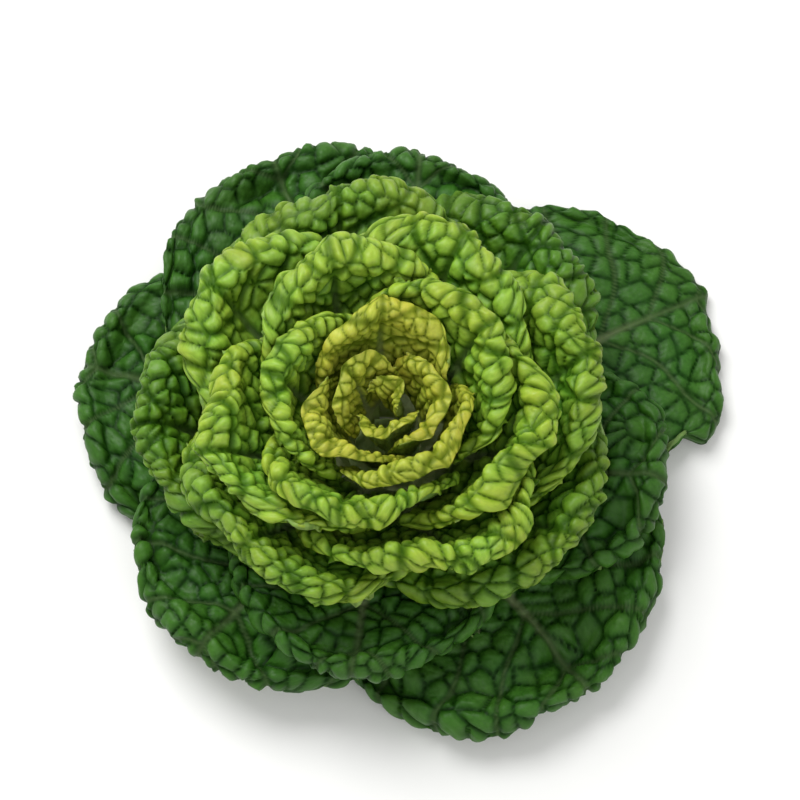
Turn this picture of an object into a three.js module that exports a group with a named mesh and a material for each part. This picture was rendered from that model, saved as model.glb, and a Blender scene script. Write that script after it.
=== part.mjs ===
// A yellow-heart tatsoi, cut at the stem: one short stem and a spiral rosette of savoyed leaves round it.
// Units are millimetres and +Z is up. The origin is the centre of the stem's flat cut face, where it stands.
//
// Every leaf lies on its own shell. A shell is a rising curve in the (radius, height) half plane, turned
// about the stem's axis, and the shells fan out from the heart to the ground without crossing. The leaf is
// drawn flat, its margin is rolled outwards as far as the leaf outside it allows, and it is wrapped onto its
// shell. One smooth warp of space bends all the shells together, so that the rings are uneven and neighbours
// still keep clear of each other.
import * as THREE from "three";

// ---- Driving dimensions -------------------------------------------------------------------------
const LEAF_COUNT = 30; // from the heart outwards
const HEART_COUNT = 7; // the first ones, yellow and upright
const OUTER_COUNT = 8; // the last ones, dark and low
const GOLDEN_ANGLE = 137.508; // degrees between one leaf and the next
const FIRST_AZIMUTH = 24; // degrees, of the lowest leaf
const AZIMUTH_SCATTER = 14; // degrees
const REACH_SCATTER = 2.4;

const STEM_HEIGHT = 44;
const STEM_PROFILE = [ // height and radius of the stem, from its cut face to its tip
  [0, 11.5],
  [4, 13.5],
  [12, 15],
  [25, 12],
  [36, 6.5],
  [STEM_HEIGHT, 1.5],
];
const STEM_WIDEST = 18; // nothing closer to the axis than this slides with the rings
const STEM_SIDES = 20;
const LOWEST_LEAF_Z = 8;
const HIGHEST_LEAF_Z = 42;

const HEART_RADIUS = 3; // of the innermost leaf's shoulder
const HEAD_RADIUS = 107; // of the outermost shoulder
const HEART_HEIGHT = 70; // of the innermost shoulder
const RING_RISE = 15; // how far the ring round the heart stands above it
const RING_RADIUS = 34;
const DOME_DROP = 66; // how far the head falls away at DOME_RADIUS
const DOME_RADIUS = 105;
const DOME_POWER = 2.6;

// How the figures change with age, which runs from 0, the innermost leaf, to 1, the outermost.
const HEART_SHARE = 0.3; // the age at which a leaf has left the heart
const BULGE_SHARE = 0.4; // the age at which the margin's bulge is full
const REACH_GROWTH = 0.95;
const STEM_GROWTH = 0.85;
const SLOPE_GROWTH = 0.75;
const WIDTH_GROWTH = 2.9;
const HEART_START_SLOPE = 88; // degrees from the level, where a leaf leaves the stem
const LOWEST_START_SLOPE = 12;
const HEART_SLOPE = 92; // degrees from the level, at the shoulder
const HEAD_SLOPE_FALL = 26;
const RIM_SLOPE_FALL = 80;
const RIM_SLOPE_POWER = 4;
const HEART_CURL = 70; // degrees that a margin turns
const HEAD_CURL = 140;
const HEART_SQUATNESS = 0.85; // length of the blade's rounded end over its half width
const HEAD_SQUATNESS = 0.62;

const BLADE_THICKNESS = 1.2;
const PETIOLE_THICKNESS = 3.4; // down its middle, where it leaves the stem
const HEART_HALF_WIDTH = 11;
const LARGEST_HALF_WIDTH = 67;
const HEART_BULGE = 7; // how far a margin stands out from its shell when nothing is in its way
const LARGEST_BULGE = 16;
const TIGHTEST_ROLL = 2.2; // least radius of a rolled margin
const CLEARANCE = 0.7; // from one leaf's shell to what it could touch
const STEM_CLEARANCE = 1.2;
const GROUND_CLEARANCE = 1.2; // under the lowest margins
const WRAP_EXTRA = 3; // added to the radius of wrapping, so that the heart's leaves don't close on themselves
const ROLLED_LENGTH = 0.75; // of the bulge, by which a leaf is longer than its shell
const MOST_OF_LENGTH = 0.52; // that the blade's rounded end may take
const MIDDLE_STEPS = 24; // points up a leaf's middle when room is measured
const HANDLE = 0.36; // length of a shell curve's handles over the distance between its ends
const RIB_START = 0.1; // share of a leaf's length where its thick middle starts to thin
const RIB_END = 0.6;
const RIB_POWER = 1.5; // how roundly it thins to the sides
const PETIOLE_SHARE = 0.132; // of the leaf's length, before it starts to widen
const HEART_PETIOLE_HALF_WIDTH = 2.2;
const PETIOLE_HALF_WIDTH = 5.8;
const BOW_POWER = 2.2; // how late the grid lines across a leaf start to bow towards its rounded end
const TIP_ANGLE = 58; // degrees of the end's ellipse each side of the tip that the last grid line spans
const ROLL_START = 0.3; // share of a leaf's length where its margin starts to stand out
const ROLL_END = 0.7;
const RUFFLE_SHARE = 0.3; // of the free room, for the blade's slow waves; the rolled margin has the rest

const WARP_LENGTH = 11; // divides lengths in the warp's sines
const WARP_SIZE = 3.4;
const WARP_START = 12; // height below which nothing sways
const RING_SHIFT = 13; // how far the outer rings sit behind the heart

// The lowest leaves, from the outermost inwards: where each points, how far out and how high its shoulder is,
// the slope there in degrees, its width against the formula's, the degrees its margin turns, and its bulge.
const OUTER_LEAVES = [
  { azimuth: 24, reach: 134, height: 12, slope: 2, width: 1.22, curl: 70, bulge: 9 },
  { azimuth: 168, reach: 109, height: 20, slope: 24, width: 1.15, curl: 125, bulge: 17 },
  { azimuth: 306, reach: 117, height: 26, slope: 32, width: 1.3, curl: 160, bulge: 19 },
  { azimuth: 112, reach: 111, height: 27, slope: 18, width: 1.25, curl: 105, bulge: 18 },
  { azimuth: 234, reach: 102, height: 33, slope: 38, width: 1.15, curl: 155, bulge: 18 },
  { azimuth: 345, reach: 97, height: 36, slope: 32, width: 0.85, curl: 130, bulge: 17 },
  { azimuth: 82, reach: 96, height: 40, slope: 30, width: 1.0, curl: 130, bulge: 17 },
  { azimuth: 264, reach: 89, height: 44, slope: 38, width: 1.0, curl: 140, bulge: 17 },
];

// Grid lines across a leaf, from one margin to the other, and along it, from the stem to the tip.
const ACROSS = [-1, -0.88, -0.68, -0.38, 0, 0.38, 0.68, 0.88, 1];
const ALONG = [0, 0.18, 0.36, 0.53, 0.67, 0.78, 0.86, 0.93, 0.975, 1];
const HEART_ACROSS = [-1, -0.8, -0.55, -0.27, 0, 0.27, 0.55, 0.8, 1];
const HEART_ALONG = [0, 0.22, 0.45, 0.64, 0.8, 0.91, 1];

// ---- Small helpers ------------------------------------------------------------------------------
const radians = THREE.MathUtils.degToRad;
const mix = THREE.MathUtils.lerp;

// 0 below zero, 1 above one, and a smooth step between.
const ease = (x) => THREE.MathUtils.smoothstep(x, 0, 1);

// A number from 0 to 1 that is always the same for a leaf and a salt.
function scatter(index, salt) {
  const x = Math.sin(index * 12.9898 + salt * 78.233) * 43758.5453;
  return x - Math.floor(x);
}

// A leaf's own small departure from a rule, up to half that size each way.
const off = (index, salt, size) => size * (scatter(index, salt) - 0.5);

// A table of [x, y] rows read at x, straight between the rows.
function interpolate(rows, x) {
  if (x <= rows[0][0]) return rows[0][1];
  for (let i = 1; i < rows.length; i++) {
    const [x0, y0] = rows[i - 1];
    const [x1, y1] = rows[i];
    if (x <= x1) return mix(y0, y1, (x - x0) / (x1 - x0));
  }
  return rows[rows.length - 1][1];
}

// ---- One leaf's figures -------------------------------------------------------------------------
// age runs from 0, the innermost leaf, to 1, the outermost.
function leafFigures(index) {
  const age = index / (LEAF_COUNT - 1);
  const settled = ease(age / HEART_SHARE); // 0 in the middle, 1 outside the heart
  const stemZ = mix(HIGHEST_LEAF_Z, LOWEST_LEAF_Z, Math.pow(age, STEM_GROWTH));
  const figures = {
    index,
    age,
    azimuth: FIRST_AZIMUTH + (LEAF_COUNT - 1 - index) * GOLDEN_ANGLE + off(index, 1, AZIMUTH_SCATTER),
    foot: new THREE.Vector2(interpolate(STEM_PROFILE, stemZ - 2) + STEM_CLEARANCE, stemZ),
    reach: mix(HEART_RADIUS, HEAD_RADIUS, age ** REACH_GROWTH) + off(index, 2, REACH_SCATTER) * settled,
    startSlope: mix(HEART_START_SLOPE, LOWEST_START_SLOPE, Math.pow(age, SLOPE_GROWTH)),
    slope: HEART_SLOPE - HEAD_SLOPE_FALL * age - RIM_SLOPE_FALL * Math.pow(age, RIM_SLOPE_POWER),
    halfWidth: mix(HEART_HALF_WIDTH, LARGEST_HALF_WIDTH, 1 - Math.exp(-WIDTH_GROWTH * age)),
    bulge: mix(HEART_BULGE, LARGEST_BULGE, ease(age / BULGE_SHARE)),
    curl: mix(HEART_CURL, HEAD_CURL, settled),
    squatness: mix(HEART_SQUATNESS, HEAD_SQUATNESS, settled),
  };
  figures.height =
    HEART_HEIGHT +
    RING_RISE * ease(figures.reach / RING_RADIUS) -
    DOME_DROP * Math.pow(figures.reach / DOME_RADIUS, DOME_POWER) +
    off(index, 3, REACH_SCATTER) * settled;
  const outer = OUTER_LEAVES[LEAF_COUNT - 1 - index];
  if (outer)
    Object.assign(figures, outer, { halfWidth: figures.halfWidth * outer.width });
  return figures;
}

// ---- A shell's rising curve ---------------------------------------------------------------------
// A cubic from the foot on the stem to the shoulder, read by length along it, and straight on past both ends.
class Shell {
  constructor({ foot, reach, height, startSlope, slope }) {
    const shoulder = new THREE.Vector2(reach, height);
    const handle = HANDLE * foot.distanceTo(shoulder);
    this.startDirection = new THREE.Vector2(Math.cos(radians(startSlope)), Math.sin(radians(startSlope)));
    this.endDirection = new THREE.Vector2(Math.cos(radians(slope)), Math.sin(radians(slope)));
    this.curve = new THREE.CubicBezierCurve(
      foot,
      foot.clone().addScaledVector(this.startDirection, handle),
      shoulder.clone().addScaledVector(this.endDirection, -handle),
      shoulder,
    );
    this.length = this.curve.getLength();
  }

  // The point at that length, as (radius, height).
  at(length) {
    const inside = THREE.MathUtils.clamp(length, 0, this.length);
    const point = this.curve.getPointAt(inside / this.length);
    if (length > this.length) point.addScaledVector(this.endDirection, length - this.length);
    if (length < 0) point.addScaledVector(this.startDirection, length);
    return point;
  }

  // The unit tangent at that length, in (radius, height).
  direction(length) {
    return this.at(length + 0.5).sub(this.at(length - 0.5)).normalize();
  }
}

// ---- The flat leaf ------------------------------------------------------------------------------
// A narrow petiole that widens into a blade whose end is half an ellipse. x is across, y along.
class FlatLeaf {
  constructor(figures, shellLength) {
    this.figures = figures;
    this.length = shellLength + ROLLED_LENGTH * figures.bulge;
    this.halfWidth = figures.halfWidth;
    this.endLength = Math.min(figures.squatness * this.halfWidth, MOST_OF_LENGTH * this.length);
    this.centre = this.length - this.endLength;
    this.petioleHalfWidth = mix(HEART_PETIOLE_HALF_WIDTH, PETIOLE_HALF_WIDTH, ease(2 * figures.age));
    this.petioleEnd = PETIOLE_SHARE * this.length;
  }

  // Half the leaf's width at y.
  widthAt(y) {
    if (y < this.centre) {
      const along = (y - this.petioleEnd) / (this.centre - this.petioleEnd);
      return mix(this.petioleHalfWidth, this.halfWidth, ease(along));
    }
    return this.halfWidth * Math.sqrt(Math.max(0, 1 - ((y - this.centre) / this.endLength) ** 2));
  }

  // The flat point of grid line (u, v), with u from -1 to 1 across and v from 0 to 1 along.
  point(u, v) {
    const tipAngle = radians(TIP_ANGLE);
    const least = Math.cos(tipAngle);
    const side = v * (this.centre + this.endLength * least);
    const bow = this.endLength * (1 - least) * Math.pow(v, BOW_POWER);
    return {
      x: (this.widthAt(side) * Math.sin(u * tipAngle)) / Math.sin(tipAngle),
      y: side + (bow * (Math.cos(u * tipAngle) - least)) / (1 - least),
    };
  }

  // Distance from a flat point to the margin, and the unit direction towards it.
  margin({ x, y }) {
    if (y < this.centre) return { distance: this.widthAt(y) - Math.abs(x), toX: Math.sign(x), toY: 0 };
    const dy = y - this.centre;
    const share = Math.hypot(x / this.halfWidth, dy / this.endLength);
    const radius = Math.hypot(x, dy);
    if (share < 1e-3) return { distance: Math.min(this.halfWidth, this.endLength), toX: 0, toY: 0 };
    return { distance: ((1 - share) * radius) / share, toX: x / radius, toY: dy / radius };
  }

  // The thickness of grid line (u, v): a petiole that is thick down its middle and fades into the blade.
  thickness(u, v) {
    const fade = (v - RIB_START) / (RIB_END - RIB_START);
    const stout = ease(this.figures.age / HEART_SHARE + RIB_START);
    const rib = (1 - ease(fade)) * (1 - Math.abs(u) ** RIB_POWER) * stout;
    return mix(BLADE_THICKNESS, PETIOLE_THICKNESS, rib);
  }
}

// ---- Space's smooth warp ------------------------------------------------------------------------
// Slow sines move every point a little, and the outer rings slide back from the heart. The stem stays put.
function warp(p) {
  const fade = ease((p.z - WARP_START) / (HEART_HEIGHT - WARP_START));
  const s = 1 / WARP_LENGTH;
  const swayX = Math.sin(p.y * s * 0.9 + 1.3) + 0.8 * Math.sin(p.z * s + p.y * s * 0.5 + 4.1);
  const swayY = Math.sin(p.x * s * 0.85 + 0.4) + 0.8 * Math.sin(p.x * s * 0.5 - p.z * s + 2.2);
  const swayZ = Math.sin(p.x * s * 0.7 + 2.9) + 0.8 * Math.sin(p.y * s * 0.75 + 5.0);
  const size = 0.5 * WARP_SIZE * fade;
  const shift = RING_SHIFT * ease((Math.hypot(p.x, p.y) - STEM_WIDEST) / (DOME_RADIUS - STEM_WIDEST));
  return new THREE.Vector3(p.x + size * swayX, p.y + size * swayY + shift, p.z + size * swayZ);
}

// ---- One leaf -----------------------------------------------------------------------------------
class Leaf {
  constructor(index) {
    this.figures = leafFigures(index);
    this.shell = new Shell(this.figures);
    this.flat = new FlatLeaf(this.figures, this.shell.length);
    this.middle = []; // points up the middle of the leaf, with the angle it spans each side there
    for (let i = 0; i <= MIDDLE_STEPS; i++) {
      const y = (this.shell.length * i) / MIDDLE_STEPS;
      const point = this.shell.at(y);
      this.middle.push({ point, halfAngle: this.flat.widthAt(y) / (point.x + WRAP_EXTRA) });
    }
  }

  // How far a point of this leaf, on its shell and at that azimuth, can move without touching a leaf outside
  // it or the ground.
  room(onShell, tangent, azimuth, outerLeaves) {
    let room = (onShell.y - GROUND_CLEARANCE) / Math.max(tangent.x, 0.1);
    for (const other of outerLeaves) {
      const turn = azimuth - radians(other.figures.azimuth);
      const aside = Math.abs(Math.atan2(Math.sin(turn), Math.cos(turn)));
      for (const { point, halfAngle } of other.middle) {
        const beyond = Math.max(0, aside - halfAngle) * point.x;
        room = Math.min(room, Math.hypot(onShell.distanceTo(point), beyond));
      }
    }
    return room - CLEARANCE;
  }

  // The point of grid line (u, v), that far off the middle of the sheet, outwards.
  place(u, v, outerLeaves) {
    const { index, age, azimuth, bulge, curl } = this.figures;
    const flatPoint = this.flat.point(u, v);
    const { distance, toX, toY } = this.flat.margin(flatPoint);
    const share = flatPoint.y / this.flat.length;
    const blade = ease((share - ROLL_START) / (ROLL_END - ROLL_START)); // 0 on the petiole, 1 on the blade
    const across = flatPoint.x / this.flat.halfWidth;

    const before = this.shell.at(flatPoint.y);
    const turnBefore = radians(azimuth) + flatPoint.x / (before.x + WRAP_EXTRA);
    const free = this.room(before, this.shell.direction(flatPoint.y), turnBefore, outerLeaves);
    const limit = blade * THREE.MathUtils.clamp(free - this.flat.thickness(u, v), 0, bulge);

    // The strip along the margin turns through an arc that stands out by its part of the limit.
    const uneven = 1 + 0.15 * Math.sin(4.2 * across + 2 * Math.PI * scatter(index, 5));
    const rollHeight = (1 - RUFFLE_SHARE) * limit;
    const radius = Math.max(rollHeight / (1 - Math.cos(radians(curl) * uneven)), TIGHTEST_ROLL);
    const strip = radius * Math.acos(Math.max(1 - rollHeight / radius, -1));
    const into = Math.max(0, strip - distance);
    const back = radius * Math.sin(into / radius) - into;
    const rise = radius * (1 - Math.cos(into / radius));

    const wave =
      0.5 +
      0.3 * Math.sin(flatPoint.x / 11 + 2 * Math.PI * scatter(index, 7)) +
      0.2 * Math.sin(flatPoint.x / 6.1 + flatPoint.y / 13 + 2 * Math.PI * scatter(index, 8));
    const out = rise + RUFFLE_SHARE * limit * wave * Math.min(1, 3 * age);

    const y = flatPoint.y + back * toY;
    const onShell = this.shell.at(y);
    const tangent = this.shell.direction(y);
    const turn = radians(azimuth) + (flatPoint.x + back * toX) / (onShell.x + WRAP_EXTRA);
    const stands = onShell.x + tangent.y * out;
    const height = onShell.y - tangent.x * out;
    return warp(new THREE.Vector3(stands * Math.cos(turn), stands * Math.sin(turn), height));
  }

  // The leaf as one closed solid: its inner face on the shell, its thickness outwards from it.
  geometry(outerLeaves) {
    const isHeart = this.figures.index < HEART_COUNT;
    const across = isHeart ? HEART_ACROSS : ACROSS;
    const along = isHeart ? HEART_ALONG : ALONG;
    const columns = across.length;
    const rows = along.length;
    const step = 0.01;
    const inner = [];
    const outer = [];
    for (const v of along)
      for (const u of across) {
        const right = this.place(Math.min(u + step, 1), v, outerLeaves);
        const left = this.place(Math.max(u - step, -1), v, outerLeaves);
        const above = this.place(u, Math.min(v + step, 1), outerLeaves);
        const below = this.place(u, Math.max(v - step, 0), outerLeaves);
        const normal = right.sub(left).cross(above.sub(below)).normalize();
        const point = this.place(u, v, outerLeaves);
        inner.push(point);
        outer.push(point.clone().addScaledVector(normal, this.flat.thickness(u, v)));
      }

    const faces = [];
    const quad = (a, b, c, d) => faces.push(a, b, c, a, c, d);
    const front = (row, column) => rows * columns + row * columns + column;
    const back = (row, column) => row * columns + column;
    const lastRow = rows - 1;
    const lastColumn = columns - 1;
    for (let row = 0; row < lastRow; row++) {
      for (let column = 0; column < lastColumn; column++) {
        quad(front(row, column), front(row, column + 1), front(row + 1, column + 1), front(row + 1, column));
        quad(back(row, column), back(row + 1, column), back(row + 1, column + 1), back(row, column + 1));
      }
      quad(front(row, 0), front(row + 1, 0), back(row + 1, 0), back(row, 0));
      const c = lastColumn;
      quad(front(row, c), back(row, c), back(row + 1, c), front(row + 1, c));
    }
    for (let column = 0; column < lastColumn; column++) {
      quad(front(0, column), back(0, column), back(0, column + 1), front(0, column + 1));
      const r = lastRow;
      quad(front(r, column), front(r, column + 1), back(r, column + 1), back(r, column));
    }
    const geometry = new THREE.BufferGeometry();
    const points = [...inner, ...outer].flatMap((p) => p.toArray());
    geometry.setAttribute("position", new THREE.Float32BufferAttribute(points, 3));
    geometry.setIndex(faces);
    geometry.computeVertexNormals();
    return geometry;
  }
}

// ---- The stem -----------------------------------------------------------------------------------
function stemGeometry() {
  const profile = [
    new THREE.Vector2(0, 0),
    ...STEM_PROFILE.map(([z, radius]) => new THREE.Vector2(radius, z)),
    new THREE.Vector2(0, STEM_HEIGHT + 1),
  ];
  return new THREE.LatheGeometry(profile, STEM_SIDES).rotateX(Math.PI / 2);
}

// ---- Colours and names --------------------------------------------------------------------------
const finish = (color, roughness) => new THREE.MeshStandardMaterial({ color, roughness, metalness: 0 });
const MATERIALS = {
  stem: () => finish("#c9d3a0", 0.6),
  heart: (age) => finish(new THREE.Color("#a9b82e").lerp(new THREE.Color("#8db43a"), age * 4), 0.5),
  head: (age) => finish(new THREE.Color("#8db43a").lerp(new THREE.Color("#4f8f34"), age), 0.5),
  outer: () => finish("#2f6a30", 0.45),
};

// The group and the number within it of a leaf counted from the heart.
function leafName(index) {
  const firstOuter = LEAF_COUNT - OUTER_COUNT;
  if (index < HEART_COUNT) return ["heart", index + 1];
  if (index < firstOuter) return ["head", index - HEART_COUNT + 1];
  return ["outer", index - firstOuter + 1];
}

// ---- The plant ----------------------------------------------------------------------------------
const tatsoi = new THREE.Group();

const stem = new THREE.Mesh(stemGeometry(), MATERIALS.stem());
stem.name = "stem";
tatsoi.add(stem);

const leaves = Array.from({ length: LEAF_COUNT }, (_, index) => new Leaf(index));
for (const [index, leaf] of leaves.entries()) {
  const [kind, number] = leafName(index);
  const mesh = new THREE.Mesh(leaf.geometry(leaves.slice(index + 1)), MATERIALS[kind](leaf.figures.age));
  mesh.name = `${kind}_leaf_${String(number).padStart(2, "0")}`;
  tatsoi.add(mesh);
}

export default tatsoi;
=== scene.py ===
"""A head of yellow-heart tatsoi that stands on its cut stem: a spiral rosette of blistered leaves.

Lengths are worked out in millimetres and turned to the frame's metres as each mesh is made. +Z is up.
"""

import logging
import math
from dataclasses import dataclass, field, replace
from enum import Enum

import bpy
import numpy as np
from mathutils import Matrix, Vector


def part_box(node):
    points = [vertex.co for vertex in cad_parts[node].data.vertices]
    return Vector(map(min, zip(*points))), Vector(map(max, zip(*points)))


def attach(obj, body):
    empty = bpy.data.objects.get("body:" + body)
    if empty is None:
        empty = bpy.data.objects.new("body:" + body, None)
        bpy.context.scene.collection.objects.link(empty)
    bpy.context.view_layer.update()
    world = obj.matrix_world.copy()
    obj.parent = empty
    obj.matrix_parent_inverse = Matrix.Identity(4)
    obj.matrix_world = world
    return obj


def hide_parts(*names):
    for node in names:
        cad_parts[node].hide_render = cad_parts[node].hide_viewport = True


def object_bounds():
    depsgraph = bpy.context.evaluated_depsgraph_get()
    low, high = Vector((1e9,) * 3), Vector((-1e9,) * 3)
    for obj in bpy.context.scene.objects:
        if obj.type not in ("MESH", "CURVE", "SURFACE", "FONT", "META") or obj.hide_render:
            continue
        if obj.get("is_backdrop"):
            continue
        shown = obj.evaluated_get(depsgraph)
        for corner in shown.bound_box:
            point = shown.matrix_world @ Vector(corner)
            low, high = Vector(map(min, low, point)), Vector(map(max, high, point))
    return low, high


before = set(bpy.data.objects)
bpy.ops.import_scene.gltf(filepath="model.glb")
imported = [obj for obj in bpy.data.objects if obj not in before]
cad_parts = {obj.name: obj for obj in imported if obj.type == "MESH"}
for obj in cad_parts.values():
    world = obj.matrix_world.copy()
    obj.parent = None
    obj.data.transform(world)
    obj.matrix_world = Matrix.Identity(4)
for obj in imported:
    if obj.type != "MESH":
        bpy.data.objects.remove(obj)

log = logging.getLogger("tatsoi")
Number = float | np.ndarray
Socket = bpy.types.NodeSocket
Sum = float | Socket
Paint = str | Socket
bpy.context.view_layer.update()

# The stem is 45 mm high, and its height in the frame sets how long a millimetre is.
STEM_HEIGHT = 45.0
STEM_LOW, STEM_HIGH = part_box("stem")
MM = (STEM_HIGH[2] - STEM_LOW[2]) / STEM_HEIGHT


# ---- Shared helpers --------------------------------------------------------------------------------------


def linear(colour: str) -> tuple[float, float, float, float]:
    """The linear RGBA of an sRGB hex colour such as "#88aa33"."""
    parts = [int(colour[i : i + 2], 16) / 255 for i in (1, 3, 5)]
    turned = [c / 12.92 if c <= 0.04045 else ((c + 0.055) / 1.055) ** 2.4 for c in parts]
    return (*turned, 1.0)


def ease(x: Number) -> Number:
    """0 below zero, 1 above one, and a smooth step between."""
    t = np.clip(x, 0.0, 1.0)
    return t * t * (3 - 2 * t)


def mix(a: Number, b: Number, t: Number) -> Number:
    """The value that is the share t of the way from a to b."""
    return a + (b - a) * t


def scatter(index: Number, salt: Number) -> Number:
    """A number from 0 to 1 that is always the same for an index and a salt. Either can be an array."""
    x = np.sin(index * 12.9898 + salt * 78.233) * 43758.5453
    return x - np.floor(x)


def add_mesh(name: str, points: np.ndarray, quads: np.ndarray, tris: np.ndarray) -> bpy.types.Object:
    """Makes a smooth-shaded mesh object from whole arrays.

    Args:
        name: the object's name.
        points: (n, 3) places in metres, in the row frame.
        quads: (m, 4) indices of the four-sided faces.
        tris: (k, 3) indices of the three-sided faces.

    Returns:
        The object, at the origin and unturned, linked to the scene.
    """
    mesh = bpy.data.meshes.new(name)
    mesh.vertices.add(len(points))
    mesh.vertices.foreach_set("co", points.astype(np.float32).ravel())
    corners = np.concatenate([quads.ravel(), tris.ravel()])
    mesh.loops.add(len(corners))
    mesh.loops.foreach_set("vertex_index", corners.astype(np.int32))
    sizes = np.concatenate([np.full(len(quads), 4), np.full(len(tris), 3)])
    mesh.polygons.add(len(sizes))
    mesh.polygons.foreach_set("loop_start", np.concatenate([[0], np.cumsum(sizes)[:-1]]).astype(np.int32))
    mesh.polygons.foreach_set("use_smooth", np.ones(len(sizes), bool))
    mesh.update(calc_edges=True)
    mesh.validate()
    item = bpy.data.objects.new(name, mesh)
    bpy.context.scene.collection.objects.link(item)
    return item


def add_attribute(item: bpy.types.Object, name: str, values: np.ndarray) -> None:
    """Stores one number, or one vector, a point under that name."""
    kind, key = ("FLOAT", "value") if values.ndim == 1 else ("FLOAT_VECTOR", "vector")
    layer = item.data.attributes.new(name, kind, "POINT")
    layer.data.foreach_set(key, values.astype(np.float32).ravel())


# ---- The plant's figures ---------------------------------------------------------------------------------


class Ring(Enum):
    """The part of the rosette that a leaf belongs to. The value starts its name."""

    HEART = "heart_leaf"
    HEAD = "head_leaf"
    OUTER = "outer_leaf"


@dataclass(frozen=True)
class LeafFigures:
    """What sets one leaf's size and place: millimetres and radians, in the (radius, height) half plane."""

    index: int
    number: int
    ring: Ring
    age: float
    azimuth: float
    foot: tuple[float, float]
    shoulder: tuple[float, float]
    start_slope: float
    slope: float
    half_width: float
    squatness: float
    bulge: float
    curl: float
    ragged: float
    puff: float
    lobed: bool = False

    @property
    def name(self) -> str:
        """The CAD node's name."""
        return f"{self.ring.value}_{self.number:02d}"


@dataclass(frozen=True)
class OuterLeaf:
    """A low leaf's own figures: degrees and millimetres, and its width against the formula's."""

    azimuth: float
    reach: float
    height: float
    slope: float
    width: float
    curl: float
    bulge: float
    ragged: float = 2.4
    puff: float = 1.0
    lobed: bool = False


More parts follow.
